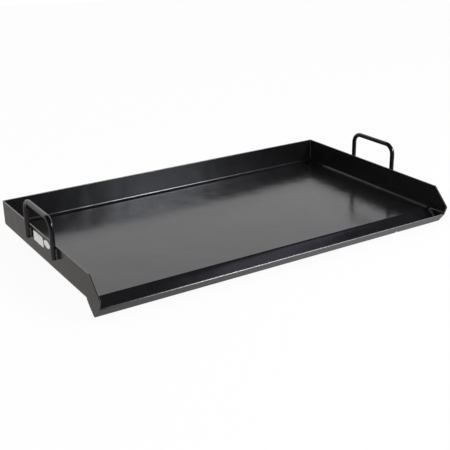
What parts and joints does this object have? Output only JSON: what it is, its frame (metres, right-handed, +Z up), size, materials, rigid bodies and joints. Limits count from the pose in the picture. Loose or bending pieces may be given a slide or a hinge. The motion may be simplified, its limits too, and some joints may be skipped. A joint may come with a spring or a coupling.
{
  "type": "camp griddle plate",
  "caption": "Flat rectangular griddle plate of black steel sheet with raised back and side walls, a V-shaped grease trough with a drain along the front, and bar handles at both ends.",
  "frame": {"origin": "on the surface that the rails stand on, under the middle of the plate's outline", "axes": "+X to the right along the trough, +Y from the trough to the back wall, +Z up from the rails to the cooking surface"},
  "size_m": [0.8334, 0.4778, 0.1395],
  "materials": {
    "satin_black_steel": "satin black coating on steel sheet, smooth, with a soft sheen",
    "handle_bar": "satin black coating on round steel bar, slightly rough",
    "weld_bead": "coated weld bead with fine ripples",
    "underside_steel": "flat black heat-proof coating on folded steel sheet",
    "label": "blank white adhesive label, smooth"
  },
  "bodies": {
    "root": {"tray": "satin_black_steel", "trough": "satin_black_steel", "trough_cap_left": "satin_black_steel", "trough_cap_right": "satin_black_steel", "handle_left": "handle_bar", "handle_right": "handle_bar", "handle_welds_left": "weld_bead", "handle_welds_right": "weld_bead", "corner_weld_left": "weld_bead", "corner_weld_right": "weld_bead", "floor_weld": "weld_bead", "cap_welds_left": "weld_bead", "cap_welds_right": "weld_bead", "front_rail": "underside_steel", "rear_rail": "underside_steel", "rail_welds": "weld_bead", "heat_spreader_left": "underside_steel", "heat_spreader_right": "underside_steel", "spreader_welds": "weld_bead", "square_label": "label", "oval_label": "label"}
  },
  "joints": []
}
